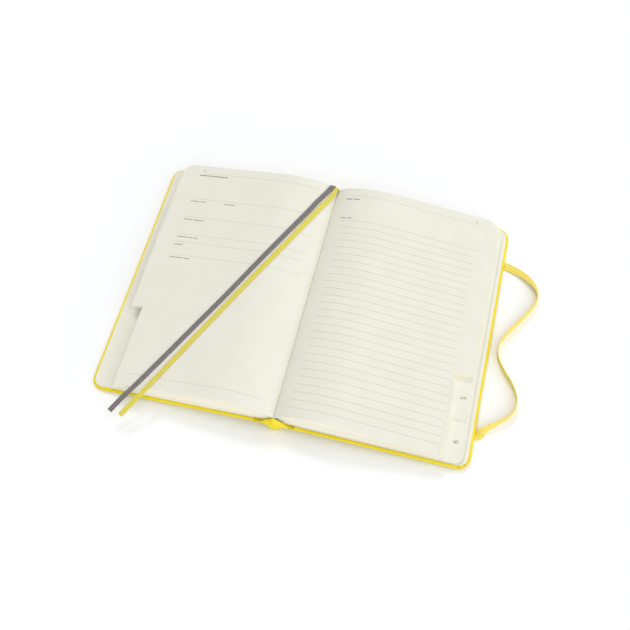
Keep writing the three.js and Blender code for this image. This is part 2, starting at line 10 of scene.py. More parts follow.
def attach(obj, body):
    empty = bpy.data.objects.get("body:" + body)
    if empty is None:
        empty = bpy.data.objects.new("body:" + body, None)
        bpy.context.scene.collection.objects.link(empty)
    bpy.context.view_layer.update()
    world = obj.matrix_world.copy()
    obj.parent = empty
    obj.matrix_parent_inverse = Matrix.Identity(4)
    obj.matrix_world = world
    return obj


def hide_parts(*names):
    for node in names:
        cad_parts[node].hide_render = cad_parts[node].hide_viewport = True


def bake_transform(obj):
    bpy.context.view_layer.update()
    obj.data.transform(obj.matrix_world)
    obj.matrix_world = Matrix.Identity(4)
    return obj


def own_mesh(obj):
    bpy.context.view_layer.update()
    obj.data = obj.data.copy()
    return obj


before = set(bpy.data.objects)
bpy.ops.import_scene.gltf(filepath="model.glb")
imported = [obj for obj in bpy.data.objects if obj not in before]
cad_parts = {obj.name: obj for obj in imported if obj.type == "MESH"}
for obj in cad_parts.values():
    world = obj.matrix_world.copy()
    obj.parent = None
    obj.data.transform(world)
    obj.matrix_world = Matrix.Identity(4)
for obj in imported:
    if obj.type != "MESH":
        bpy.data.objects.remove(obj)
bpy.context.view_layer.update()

# Camera
# It stands in front of the tail of the open book and looks down on it, a little from the
# right. Place, aim, roll and lens are those that put the book's corners where the photo has them.
CAMERA_PLACE = Vector((0.09992, -0.33533, 0.62660))
CAMERA_AIM = Vector((0.00661, -0.00535, 0.0))
CAMERA_ROLL = math.radians(-2.27)
CAMERA_LENS = 52.13
CAMERA_SENSOR = 36

forward = (CAMERA_AIM - CAMERA_PLACE).normalized()
level_right = forward.cross(Vector((0, 0, 1))).normalized()
level_up = level_right.cross(forward)
camera_right = math.cos(CAMERA_ROLL) * level_right + math.sin(CAMERA_ROLL) * level_up
camera_up = math.cos(CAMERA_ROLL) * level_up - math.sin(CAMERA_ROLL) * level_right
camera_data = bpy.data.cameras.new("camera")
camera_data.lens = CAMERA_LENS
camera_data.sensor_width = CAMERA_SENSOR
camera_data.clip_start = 0.01
camera = bpy.data.objects.new("camera", camera_data)
bpy.context.scene.collection.objects.link(camera)
turned = Matrix((camera_right, camera_up, -forward)).transposed().to_4x4()
camera.matrix_world = Matrix.Translation(CAMERA_PLACE) @ turned
bpy.context.scene.camera = camera
bpy.context.scene.view_settings.view_transform = "Standard"

# Ribbon markers
# Two woven page markers, one dark grey and one yellow, 4 mm wide. They are glued to the back
# of the block, turn up over its head, cross the left page and hang out at the tail. The weave
# has fine ribs across it, with painted shade in their valleys, and a few pale lines along the
# ribbon that are a painted highlight, brightest on the rib crests. The ends are cut square.
MM = 0.001
RIBBON_WIDTH = 4.0
RIBBON_THICK = 0.4
RIBBON_RIB = 0.8  # one rib of the weave to the next
RIBBON_LINES = 4  # pale threads across the width
RIBBON_STEPS = 10
TAIL_STEPS = 12

GREY_ROUTE = [
    (-3.3, 94.5, 11.7, -41), (-3.3, 101.5, 11.7, -41), (-3.5, 103.95, 12.3, -24),
    (-4, 104.3, 14.4, 0), (-4.3, 104.3, 20, 0), (-4.4, 103.5, 22, -6), (-4.6, 101.8, 22.6, -16),
    (-6.4, 97.8, 22.55, -27), (-8.4, 93, 23.27, -24), (-13.2, 82, 24.87, -17),
    (-17.9, 70.4, 25.98, -12), (-22.4, 60.4, 26.75, -7), (-28.4, 47.5, 27.36, -3),
    (-34, 35.5, 27.6, 0), (-39.6, 24, 27.5, 4), (-45, 13.2, 26.99, 8), (-60.1, -17, 24.9, 9),
    (-75.1, -45.6, 22.82, 9), (-90.1, -74.3, 20.74, 9), (-105.9, -104, 18.55, 9),
]
GREY_TAIL = [
    (-105.9, -104, 18.55, 9), (-108.6, -108.3, 17.8, 8), (-112.6, -114, 15.8, 5),
    (-118.6, -123.4, 12.6, 2),
]
YELLOW_ROUTE = [
    (-2.15, 94.5, 13.6, -41), (-2.15, 101.5, 13.6, -41), (-1.9, 103.1, 14.4, -20),
    (-1.7, 103.55, 16.2, 0), (-1.6, 103.55, 19.4, 0), (-1.6, 102.9, 20.5, -8),
    (-1.7, 101.6, 20.75, -20), (-2.2, 97.2, 19.95, -36), (-3.4, 93, 20.75, -35),
    (-8, 81.4, 23.1, -24), (-12.9, 69.6, 24.78, -17), (-18.4, 56.6, 26.07, -12),
    (-24.5, 42.5, 26.98, -7), (-31, 28.2, 27.48, -3), (-38, 13.6, 27.53, 1),
    (-45, -0.4, 26.99, 8), (-60.1, -30.6, 24.9, 9), (-74.1, -58.7, 22.96, 9),
    (-88.3, -87.6, 20.99, 9), (-96.35, -104, 19.87, 9),
]
YELLOW_TAIL = [
    (-96.35, -104, 19.87, 9), (-98.7, -108.4, 19.15, 8), (-103.5, -115.3, 16.2, 5),
    (-110, -125, 12.6, 2),
]


def linear(code):
    """An sRGB colour code as the linear colour that a shader takes."""
    parts = [int(code[i:i + 2], 16) / 255 for i in (1, 3, 5)]
    return tuple(p / 12.92 if p <= 0.04045 else ((p + 0.055) / 1.055) ** 2.4 for p in parts) + (1,)


def add_node(tree, kind, inputs=None, **settings):
    """Adds a node. An input is set if it is a value and joined if it is another node's socket."""
    node = tree.nodes.new(kind)
    for key, value in settings.items():
        setattr(node, key, value)
    for key, value in (inputs or {}).items():
        if isinstance(value, bpy.types.NodeSocket):
            tree.links.new(value, node.inputs[key])
        else:
            node.inputs[key].default_value = value
    return node


def start_material(name):
    """A new material with an empty tree."""
    material = bpy.data.materials.new(name)
    material.use_nodes = True
    material.node_tree.nodes.clear()
    return material, material.node_tree


def mix(tree, share, first, second):
    """A colour mixed from two colours or colour sockets."""
    node = add_node(tree, "ShaderNodeMix", {0: share, 6: first, 7: second}, data_type="RGBA")
    return node.outputs[2]


def ramp(tree, value, low, high):
    """The value stretched so that low becomes 0 and high becomes 1."""
    node = add_node(tree, "ShaderNodeMapRange", {0: value, 1: low, 2: high})
    return node.outputs[0]


def finish_material(tree, colour, height=None, relief=0.05, **surface):
    """Ends a material: the colour, a relief of so many mm from the height, and the surface."""
    inputs = {key.replace("_", " "): value for key, value in surface.items()}
    shader = add_node(tree, "ShaderNodeBsdfPrincipled", {"Base Color": colour, **inputs})
    if height is not None:
        bump = add_node(tree, "ShaderNodeBump",
                        {"Strength": 1.0, "Distance": relief * MM, "Height": height})
        tree.links.new(bump.outputs[0], shader.inputs["Normal"])
    output = add_node(tree, "ShaderNodeOutputMaterial")
    tree.links.new(shader.outputs[0], output.inputs[0])


def scaled(tree, vector, scale):
    """A vector times three numbers."""
    node = add_node(tree, "ShaderNodeVectorMath", {0: vector, 1: scale}, operation="MULTIPLY")
    return node.outputs[0]


def noise(tree, vector, scale, detail, **more):
    """Noise with so many spots per unit of the vector."""
    inputs = {"Vector": vector, "Scale": scale, "Detail": detail, **more}
    return add_node(tree, "ShaderNodeTexNoise", inputs).outputs[0]


def wave_of(tree, distance, length):
    """A cosine wave along a distance."""
    turn = add_node(tree, "ShaderNodeMath", {0: distance, 1: 2 * math.pi / length},
                    operation="MULTIPLY")
    return add_node(tree, "ShaderNodeMath", {0: turn.outputs[0]}, operation="COSINE").outputs[0]


def mm_place(tree):
    """The place on a piece in mm, from its own map."""
    return add_node(tree, "ShaderNodeUVMap", uv_map="mm").outputs[0]


def mesh_object(name, points, faces, materials, face_uvs=None, face_slots=None, angle=40):
    """A smooth mesh from points in mm, with its edges kept sharp above an angle."""
    mesh = bpy.data.meshes.new(name)
    mesh.from_pydata([tuple(c * MM for c in p) for p in points], [], faces)
    for material in materials:
        mesh.materials.append(material)
    if face_uvs is not None:
        layer = mesh.uv_layers.new(name="mm")
        flat = [c for uvs in face_uvs for uv in uvs for c in uv]
        layer.data.foreach_set("uv", flat)
    if face_slots is not None:
        mesh.polygons.foreach_set("material_index", face_slots)
    mesh.polygons.foreach_set("use_smooth", [True] * len(mesh.polygons))
    mesh.set_sharp_from_angle(angle=math.radians(angle))
    mesh.update()
    made = bpy.data.objects.new(name, mesh)
    bpy.context.scene.collection.objects.link(made)
    return made


def spline_places(route, steps):
    """Points, directions and rolls along a smooth curve through a route."""
    points = np.array([p[:3] for p in route], float)
    ends = (2 * points[0] - points[1], 2 * points[-1] - points[-2])
    line = np.vstack([ends[0], points, ends[1]])
    places = []
    spans = len(points) - 1
    for i in range(spans):
        a, b, c, d = line[i:i + 4]
        ab, bc, cd = (max(np.linalg.norm(q - p) ** 0.5, 1e-6) for p, q in ((a, b), (b, c), (c, d)))
        first = ((b - a) / ab - (c - a) / (ab + bc) + (c - b) / bc) * bc
        last = ((c - b) / bc - (d - b) / (bc + cd) + (d - c) / cd) * bc
        count = steps + 1 if i == spans - 1 else steps
        for k in range(count):
            t = k / steps
            place = ((2 * t**3 - 3 * t**2 + 1) * b + (t**3 - 2 * t**2 + t) * first
                     + (3 * t**2 - 2 * t**3) * c + (t**3 - t**2) * last)
            slope = ((6 * t**2 - 6 * t) * (b - c) + (3 * t**2 - 4 * t + 1) * first
                     + (3 * t**2 - 2 * t) * last)
            roll = route[i][3] * (1 - t) + route[i + 1][3] * t
            places.append((place, slope / np.linalg.norm(slope), math.radians(roll)))
    return places


def flat_cord(name, route, section, reference, steps, materials):
    """A flat band along a route, with its ring centres in metres and its length in metres."""
    points, rings, run = [], [], [0.0]
    places = spline_places(route, steps)
    for place, tangent, roll in places:
        across = reference - tangent * np.dot(tangent, reference)
        across /= np.linalg.norm(across)
        up = np.cross(tangent, across)
        turned_across = across * math.cos(roll) + up * math.sin(roll)
        turned_up = np.cross(tangent, turned_across)
        points += [place + turned_across * a + turned_up * b for a, b in section]
        if rings:
            run.append(run[-1] + float(np.linalg.norm(place - rings[-1])))
        rings.append(place)
    n = len(section)
    faces, uvs = [], []
    for i in range(len(places) - 1):
        for j in range(n):
            k = (j + 1) % n
            faces.append((i * n + j, i * n + k, (i + 1) * n + k, (i + 1) * n + j))
            uvs.append(((section[j][0], run[i]), (section[k][0], run[i]),
                        (section[k][0], run[i + 1]), (section[j][0], run[i + 1])))
    last = (len(places) - 1) * n
    faces += [tuple(range(n))[::-1], tuple(last + j for j in range(n))]
    uvs += [[(a, 0.0) for a, b in section][::-1], [(a, run[-1]) for a, b in section]]
    made = mesh_object(name, points, faces, materials, uvs)
    return made, [tuple(r * MM) for r in rings], run[-1] * MM


def ribbon_weave(name, thread, shade, light):
    """Woven rayon: ribs with painted shade between, painted highlight lines, a soft sheen."""
    material, tree = start_material(name)
    place = mm_place(tree)
    split = add_node(tree, "ShaderNodeSeparateXYZ", {0: place})
    across = wave_of(tree, split.outputs[0], RIBBON_WIDTH / RIBBON_LINES)
    along = wave_of(tree, split.outputs[1], RIBBON_RIB)
    line = ramp(tree, across, 0.0, -0.8)
    rib = ramp(tree, along, -1.0, 1.0)
    crest_highlight_lines = add_node(tree, "ShaderNodeMath", {0: line, 1: ramp(tree, along, -2.6, 0.2)},
                      operation="MULTIPLY")
    threads = noise(tree, scaled(tree, place, (9.0, 0.35, 1.0)), 1.0, 3.0)
    # Painted shade: the colour darkens from the threads' colour into the rib valleys.
    colour = mix(tree, rib, linear(shade), linear(thread))
    # Random pale streaks along the threads, in the painted highlight's colour.
    colour = mix(tree, ramp(tree, threads, 0.4, 0.9), colour, linear(light))
    # Painted highlight: pale lines along the band, brightest on the rib crests.
    colour = mix(tree, crest_highlight_lines.outputs[0], colour, linear(light))
    height = add_node(tree, "ShaderNodeMath", {0: rib, 1: line}, operation="ADD")
    finish_material(tree, colour, height.outputs[0], 0.04, Roughness=0.6, Sheen_Weight=0.2,
                    Sheen_Roughness=0.4, Specular_IOR_Level=0.3)
    return material


quarter = [(1.0, 0.0), (0.98, 0.6), (0.92, 0.95), (0.6, 1.0), (0.2, 1.0)]
upper_half = quarter + [(-a, b) for a, b in reversed(quarter)]
lower_half = [(-a, -b) for a, b in upper_half[1:-1]]
ribbon_section = [(a * RIBBON_WIDTH / 2, b * RIBBON_THICK / 2) for a, b in upper_half + lower_half]
across_book = np.array((1.0, 0.0, 0.0))
ribbons = {
    # Colours: the threads, the painted shade in the rib valleys, and the painted highlight.
    "grey": (GREY_ROUTE, GREY_TAIL,
             ribbon_weave("grey_rayon_ribbon", "#332B2F", "#211C1F", "#A89F9F")),
    "yellow": (YELLOW_ROUTE, YELLOW_TAIL,
               ribbon_weave("yellow_rayon_ribbon", "#CDB60C", "#B49C02", "#F9F37F")),
}
for tint, (route, tail_route, weave) in ribbons.items():
    ribbon, rings, length = flat_cord(f"{tint}_marker", route, ribbon_section, across_book,
                                      RIBBON_STEPS, [weave])
    tail, tail_rings, _ = flat_cord(f"{tint}_marker_tail", tail_route, ribbon_section, across_book,
                                    TAIL_STEPS, [weave])
    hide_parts(f"{tint}_ribbon_root", f"{tint}_ribbon_lying")
    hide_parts(f"{tint}_ribbon_tail")
    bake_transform(ribbon)
    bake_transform(tail)

# Elastic closure
# A flat woven elastic, 7 mm wide and half a millimetre thick, with rubber threads that run
# along it and show as ribs. The valleys between the ribs are coloured darker as painted shade.
# Its ends go under the back cover's fore-edge into two slots. With the book open it lies in a
# loose curve beside the cover.
ELASTIC_WIDTH = 7.0
ELASTIC_THICK = 0.56
ELASTIC_RIBS = 9
ELASTIC_RIB_DEPTH = 0.06
ELASTIC_STEPS = 12

ELASTIC_ROUTE = [
    (143.7, 72, 0.45, 90), (145.4, 72, 0.5, 89), (151.5, 70.2, 0.95, 84),
    (160, 66.4, 1.6, 73), (166.9, 61, 2.35, 58), (171.4, 54.6, 3.2, 36),
    (173, 47.5, 3.64, 12), (171.8, 40.3, 3.64, 4), (163.6, 25.1, 3.64, 6),
    (153.5, 8.4, 3.64, 6), (149.7, -1.5, 3.64, 3), (150.4, -11, 3.64, 2),
    (156, -21, 3.64, 4), (163.9, -31.3, 3.64, 6), (168.9, -41.5, 3.64, 8),
    (169.2, -49.5, 3.64, 5), (165.6, -57.2, 3.64, 3), (159.5, -62.8, 3.64, 5),
    (153.8, -67.8, 3.6, 15), (150.1, -71.2, 3.38, 25), (148.1, -73.1, 2.78, 45),
    (146.6, -74.8, 1.55, 71), (145.2, -76, 0.56, 88), (143.7, -76, 0.45, 90),
]


def ribbed_section(width, thick, ribs, depth):
    """Outline of a flat band with rounded ribs along both faces."""
    steps = ribs * 6
    upper = []
    for i in range(steps + 1):
        share = i / steps
        edge = min(1.0, min(share, 1 - share) * ribs * 2)
        wave = 0.5 - 0.5 * math.cos(2 * math.pi * ribs * share)
        high = thick / 2 * (0.35 + 0.65 * edge**0.5) - depth * (1 - wave)
        upper.append((width * (0.5 - share), high))
    return upper + [(a, -b) for a, b in reversed(upper)]


def dress_solid(name, material):
    """Puts a material on a modelled solid that stays as it is."""
    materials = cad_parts[name].data.materials
    materials.clear()
    materials.append(material)


elastic_woven, tree = start_material("woven_elastic")
place = mm_place(tree)
split = add_node(tree, "ShaderNodeSeparateXYZ", {0: place})
cross = noise(tree, scaled(tree, place, (1.3, 3.2, 1.0)), 1.0, 2.0)
# Painted shade: darker colour in the valleys between the ribs.
painted_rib_valley_shade = ramp(tree, wave_of(tree, split.outputs[0], ELASTIC_WIDTH / ELASTIC_RIBS), 1.0, -1.0)
colour = mix(tree, painted_rib_valley_shade, linear("#F4DC52"), linear("#DDBE30"))
colour = mix(tree, ramp(tree, cross, 0.35, 0.8), colour, linear("#FAEC8A"))
finish_material(tree, colour, cross, 0.06, Roughness=0.75, Sheen_Weight=0.2,
                Specular_IOR_Level=0.3)

elastic_section = ribbed_section(ELASTIC_WIDTH, ELASTIC_THICK, ELASTIC_RIBS, ELASTIC_RIB_DEPTH)
upright = np.array((0.0, 0.0, 1.0))
band, rings, length = flat_cord("closure_band", ELASTIC_ROUTE, elastic_section, upright,
                                ELASTIC_STEPS, [elastic_woven])
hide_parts("elastic_band")
# Half a turn has no direction of its own. In this order the ends go round outside the fore-edge.
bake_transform(band)
for end in ("head", "tail"):
    dress_solid(f"elastic_end_{end}", elastic_woven)

# Floor and light
# A white table top under soft studio light: an even light from all round, a very broad lamp at
# the front right that lights the cut edges of the pages, and a smaller one at the upper left
# that leaves a soft shadow to the lower right.
FLOOR_HALF = 4.0
FLOOR_DROP = 0.03
SKY = 0.42
# Each lamp: direction on the floor, height in degrees, share of the light, spread and tint.
LAMPS = {
    "front_lamp": (-34, 36, 0.41, 110, (0.97, 0.985, 1.0)),
    "back_lamp": (122, 50, 0.2, 18, (1.0, 0.985, 0.95)),
}

floor_mesh = bpy.data.meshes.new("table_top")
corners = ((-1, -1), (1, -1), (1, 1), (-1, 1))
floor_corners = [(a * FLOOR_HALF, b * FLOOR_HALF, 0) for a, b in corners]
floor_mesh.from_pydata(floor_corners, [], [(0, 1, 2, 3)])
floor = bpy.data.objects.new("table_top", floor_mesh)
bpy.context.scene.collection.objects.link(floor)
floor.location.z = -FLOOR_DROP * MM
white_top, tree = start_material("white_table_top")
finish_material(tree, (0.985, 0.99, 1.0, 1), Roughness=0.9, Specular_IOR_Level=0.0)
floor_mesh.materials.append(white_top)

world = bpy.data.worlds.new("studio")
bpy.context.scene.world = world
world.use_nodes = True
tree = world.node_tree
tree.nodes.clear()
rays = add_node(tree, "ShaderNodeLightPath")
seen = rays.outputs["Is Camera Ray"]
for kind in ("Is Glossy Ray", "Is Transmission Ray"):
    seen = add_node(tree, "ShaderNodeMath", {0: seen, 1: rays.outputs[kind]},
                    operation="MAXIMUM").outputs[0]
light = add_node(tree, "ShaderNodeBackground", {"Color": (0.97, 0.985, 1.0, 1), "Strength": SKY})
backdrop = add_node(tree, "ShaderNodeBackground", {"Color": (1, 1, 1, 1), "Strength": 1.0})
both = add_node(tree, "ShaderNodeMixShader",
                {0: seen, 1: light.outputs[0], 2: backdrop.outputs[0]})
output = add_node(tree, "ShaderNodeOutputWorld")
tree.links.new(both.outputs[0], output.inputs[0])

for name, (turn, rise, share, spread, tint) in LAMPS.items():
    turn, rise = math.radians(turn), math.radians(rise)
    lamp_data = bpy.data.lights.new(name, "SUN")
    lamp_data.energy = share * math.pi / math.sin(rise)
    lamp_data.angle = math.radians(spread)
    lamp_data.color = tint
    lamp = bpy.data.objects.new(name, lamp_data)
    bpy.context.scene.collection.objects.link(lamp)
    way = Vector((math.cos(turn) * math.cos(rise), math.sin(turn) * math.cos(rise),
                  math.sin(rise)))
    lamp.rotation_euler = way.to_track_quat("Z", "Y").to_euler()

# Cover cloth
# Each board is wrapped in yellow cloth that is turned in 12 mm over its edges. The edges are
# softly rounded, and at the two round fore-edge corners the turned-in cloth is gathered in
# small pleats. The cloth is smooth coated book cloth with a fine grain.
COVER_HEIGHT = 210.0
COVER_REACH = 131.5
COVER_THICK = 2.5
COVER_CORNER = 9.0
CLOTH_START = 3.42  # groove to the edge of the board's cloth
TURN_IN = 12.0
TURN_IN_THICK = 0.36
EDGE_ROUND = 0.85
SPINE_HALF = 12.0
GROOVE_HEIGHT = 7.0
BACK_LIFT = 1.05  # the back cover's fore-edge lies on the ends of the elastic
PLEATS = 7
PLEAT_DEPTH = 1.0
CORNER_STEPS = 40
EDGE_STEPS = 9
ROUND_STEPS = 6


def object_place(tree):
    """The place in the book, in metres."""
    return add_node(tree, "ShaderNodeTexCoord").outputs["Object"]


book_cloth, tree = start_material("coated_book_cloth")
place = object_place(tree)
grain = noise(tree, place, 1 / (0.7 * MM), 3.0, Roughness=0.55)
patches = noise(tree, place, 1 / (30 * MM), 2.0)
colour = mix(tree, ramp(tree, patches, 0.35, 0.65), linear("#EFD912"), linear("#F6E21E"))
colour = mix(tree, ramp(tree, grain, 0.5, 0.2), colour, linear("#DCBF0A"))
finish_material(tree, colour, grain, 0.05, Roughness=0.5, Specular_IOR_Level=0.4)


def cover_tilt(sign):
    """The angle at which a cover falls from its groove to its fore-edge."""
    lift = BACK_LIFT if sign > 0 else 0.0
    return math.asin((GROOVE_HEIGHT - lift) / COVER_REACH)


def cover_point(sign, along, height):
    """A point of a cover: along from its groove, height above its underside. Returns x and z."""
    tilt = cover_tilt(sign)
    x = SPINE_HALF + along * math.cos(tilt) + height * math.sin(tilt)
    z = GROOVE_HEIGHT - along * math.sin(tilt) + height * math.cos(tilt)
    return sign * x, z


def cover_loop(sign, inset, height, gather):
    """One open loop of the cloth round the cover's tail, fore-edge and head, set in by inset."""
    radius = max(COVER_CORNER - inset, 0.02)
    far = COVER_REACH - inset - radius
    half = COVER_HEIGHT / 2 - inset
    loop = []
    for s in range(EDGE_STEPS):
        loop.append((CLOTH_START + (far - CLOTH_START) * s / EDGE_STEPS, -half, 1.0))
    for corner, centre in ((-1, -half + radius), (1, half - radius)):
        for s in range(CORNER_STEPS + 1):
            turn = (s / CORNER_STEPS - (1 if corner < 0 else 0)) * math.pi / 2
            pleat = abs(math.cos(math.pi * PLEATS * s / CORNER_STEPS)) ** 0.6
            out = radius - gather * 0.7 * (1 - pleat)
            loop.append((far + out * math.cos(turn), centre + out * math.sin(turn), pleat))
    for s in range(EDGE_STEPS):
        loop.append((far + (CLOTH_START - far) * (s + 1) / EDGE_STEPS, half, 1.0))
    points = []
    for along, y, pleat in loop:
        x, z = cover_point(sign, along, height - gather * 0.6 * (1 - pleat) * (height > 1.2))
        points.append((x, y, z))
    return points


def cover_skin(name, sign):
    """The cloth round one board, from its underside over the edges to the turned-in border."""
    rim = [(EDGE_ROUND, 0.0, 0.0)]
    for s in range(1, ROUND_STEPS + 1):
        turn = s / ROUND_STEPS * math.pi / 2
        rim.append((EDGE_ROUND * (1 - math.sin(turn)), EDGE_ROUND * (1 - math.cos(turn)),
                    PLEAT_DEPTH * s / 8))
    for s in range(ROUND_STEPS + 1):
        turn = s / ROUND_STEPS * math.pi / 2
        gather = PLEAT_DEPTH * (0.8 + 0.2 * s / ROUND_STEPS)
        rim.append((EDGE_ROUND * (1 - math.cos(turn)),
                    COVER_THICK - EDGE_ROUND * (1 - math.sin(turn)), gather))
    rim += [(1.6, COVER_THICK, PLEAT_DEPTH), (3.0, COVER_THICK, PLEAT_DEPTH * 0.7),
            (6.0, COVER_THICK, 0.0), (TURN_IN, COVER_THICK, 0.0),
            (TURN_IN, COVER_THICK - TURN_IN_THICK, 0.0)]
    loops = [cover_loop(sign, *step) for step in rim]
    count = len(loops[0])
    points = [p for loop in loops for p in loop]
    faces = [tuple(range(count))]
    for i in range(len(loops) - 1):
        for j in range(count - 1):
            a = i * count + j
            faces.append((a, a + count, a + count + 1, a + 1))
    tail_ends = [i * count for i in range(len(loops))]
    head_ends = [i * count + count - 1 for i in range(len(loops))]
    faces.append(tuple(tail_ends) + tuple(reversed(head_ends)))
    if sign > 0:
        faces = [tuple(reversed(face)) for face in faces]
    return mesh_object(name, points, faces, [book_cloth], angle=50)


for hand, sign in (("back", 1), ("front", -1)):
    skin = cover_skin(f"{hand}_cover_wrap", sign)
    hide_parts(f"{hand}_cover_cloth")
    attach(skin, f"{hand}_cover")

# Boards and endpapers
# Grey pulp board inside the cloth, and the ivory endpapers pasted to it. The flyleaves are of
# the same heavier paper. They are plain sheets, so the modelled solids stay.
grey_board, tree = start_material("grey_pulp_board")
fibres = noise(tree, object_place(tree), 1 / (1.5 * MM), 4.0)
colour = mix(tree, ramp(tree, fibres, 0.3, 0.7), linear("#8A857C"), linear("#A9A49A"))
finish_material(tree, colour, fibres, 0.05, Roughness=0.95)

heavy_paper, tree = start_material("ivory_endpaper")
place = object_place(tree)
fibres = noise(tree, place, 1 / (0.5 * MM), 4.0)
clouds = noise(tree, place, 1 / (14 * MM), 2.0)
colour = mix(tree, ramp(tree, clouds, 0.3, 0.7), linear("#EBE9DB"), linear("#EFEDE0"))
colour = mix(tree, ramp(tree, fibres, 0.6, 0.8), colour, linear("#E4E1D0"))
finish_material(tree, colour, fibres, 0.012, Roughness=0.85, Specular_IOR_Level=0.25)

for hand in ("back", "front"):
    dress_solid(f"{hand}_board", grey_board)
    for part in ("pastedown", "flyleaf"):
        dress_solid(f"{hand}_{part}", heavy_paper)

# Back pocket
# A card panel over the back endpaper, open towards the spine, with a folded gusset of tan
# cloth at its head and tail. They are thin sheets glued to the endpaper, and the pages cover
# them in the open book.


def stripes(tree, vector, scale, direction):
    """Soft stripes across one direction."""
    return add_node(tree, "ShaderNodeTexWave", {"Vector": vector, "Scale": scale},
                    bands_direction=direction).outputs[0]


gusset_cloth, tree = start_material("tan_gusset_cloth")
place = object_place(tree)
weave = mix(tree, 0.5, stripes(tree, place, 1 / (0.9 * MM), "X"),
            stripes(tree, place, 1 / (0.9 * MM), "Y"))
colour = mix(tree, weave, linear("#8F6A3C"), linear("#B08E5C"))
finish_material(tree, colour, weave, 0.04, Roughness=0.95)

dress_solid("pocket_panel", heavy_paper)
for end in ("head", "tail"):
    dress_solid(f"pocket_gusset_{end}", gusset_cloth)

# Spine
# The same cloth goes round the spine on a paper lining and is turned in at head and tail. In
# the open book it hangs in a fold down to the table, and the turned-in cloth puffs up into a
# cap under the folds. A strip of the cloth alone bends in the groove on each side.
SPINE_FLAT = 11.0
SPINE_FOLD = 8.4
SPINE_TURN_IN = 12.0
CLOTH_HALF = 0.25  # half the thickness of the spine cloth
CLOTH_TOP = GROOVE_HEIGHT + CLOTH_HALF
FOLD_STEPS = 16
GROOVE_STEPS = 6
# Distance from the spine's middle and height of the puffed caps.
CAP_TOP = [(0, 16.5), (1.2, 16), (3, 14.8), (6, 12.6), (7.6, 11.2), (8.4, 9), (9.2, 7.4)]


def bezier(points, steps):
    """Points along a cubic curve."""
    a, b, c, d = (np.array(p, float) for p in points)
    line = []
    for i in range(steps + 1):
        t = i / steps
        line.append(tuple(a * (1 - t)**3 + b * 3 * t * (1 - t)**2 + c * 3 * t**2 * (1 - t)
                          + d * t**3))
    return line


def fold_profile(half, drop, top):
    """The cloth's line across the spine: down one side of the fold, up the other."""
    bottom = top - drop
    left = bezier([(-half, top), (-half * 0.55, top - drop * 0.28), (-half * 0.42, bottom),
                   (0, bottom)], FOLD_STEPS)
    return left + [(-x, z) for x, z in reversed(left[:-1])]


def swept_strip(name, line, rows, materials, angle=50):
    """A skin over a line in x and z. Each row has its place along the spine, its height off the
    line, and how far it is raised and pushed out towards the cap."""
    normals = []
    for i in range(len(line)):
        before, after = line[max(i - 1, 0)], line[min(i + 1, len(line) - 1)]
        run = Vector((after[0] - before[0], after[1] - before[1])).normalized()
        normals.append((-run.y, run.x))
    points = []
    cap_x, cap_z = zip(*CAP_TOP)
    full = cap_z[0] - min(z for x, z in line)
    for y, off, raised, pushed in rows:
        for (x, z), (nx, nz) in zip(line, normals):
            lift = max(np.interp(abs(x), cap_x, cap_z) - z, 0.0)
            if abs(x) > cap_x[-1]:
                lift = 0.0
            points.append((x + nx * off * (1 - raised * (lift > 0)), y + pushed * lift / full,
                           z + nz * off + raised * lift))
    n = len(line)
    faces = []
    for i in range(len(rows) - 1):
        for j in range(n - 1):
            a = i * n + j
            faces.append((a, a + 1, a + n + 1, a + n))
    return mesh_object(name, points, faces, materials, angle=angle)


def wrapped_rows(half, low, high, turn_in, rounding):
    """Rows from the turned-in cloth at the tail round its edge, along the outside, to the head."""
    middle = (low + high) / 2
    reach = (high - low) / 2
    tail = [(-half + turn_in, high - 0.12, 0, 0), (-half + turn_in, high, 0, 0)]
    for s in range(9):
        turn = math.pi * s / 8
        tail.append((-half + rounding * (1 - math.sin(turn)), middle + reach * math.cos(turn),
                     0, 0))
    spread = [(-half + 2 * half * s / 12, low, 0, 0) for s in range(1, 12)]
    head = [(-y, off, raised, -pushed) for y, off, raised, pushed in reversed(tail)]
    return tail + spread + head


cap_tail = [
    (-93, 0.83, 0, 0), (-93, 0.95, 0, 0), (-97, 0.95, 0.1, 0), (-99.5, 0.95, 0.3, 0),
    (-101.5, 0.95, 0.6, 0), (-103, 0.95, 0.8, 0), (-103.5, 0.9, 1, 0), (-104.3, 0.85, 0.98, -0.3),
    (-104.8, 0.75, 0.86, -0.9), (-104.95, 0.6, 0.66, -1.4), (-105, 0.4, 0.42, -1.6),
    (-105, 0.2, 0.2, -1.5), (-104.95, 0, 0.06, -1), (-104.8, -0.15, 0, -0.5),
    (-104.5, -CLOTH_HALF, 0, 0),
]
cap_head = [(-y, off, raised, -pushed) for y, off, raised, pushed in reversed(cap_tail)]
cloth_middle = [(y, -CLOTH_HALF, 0, 0) for y in range(-96, 97, 16)]
cloth_line = [(-SPINE_FLAT - 0.25, CLOTH_TOP)]
cloth_line += fold_profile(SPINE_FOLD, GROOVE_HEIGHT, CLOTH_TOP)
cloth_line += [(SPINE_FLAT + 0.25, CLOTH_TOP)]
spine_wrap = swept_strip("spine_wrap", cloth_line, cap_tail + cloth_middle + cap_head,
                         [book_cloth])
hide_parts("spine_cloth")
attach(spine_wrap, "spine")

lining_rows = [(-92, 0.68, 0, 0), (-92, 0.28, 0, 0), (92, 0.28, 0, 0), (92, 0.68, 0, 0),
               (-92, 0.68, 0, 0)]
spine_liner = swept_strip("spine_liner", cloth_line[2:-2], lining_rows, [heavy_paper])
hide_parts("spine_lining")
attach(spine_liner, "spine")
for piece in (spine_wrap, spine_liner):
    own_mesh(piece)

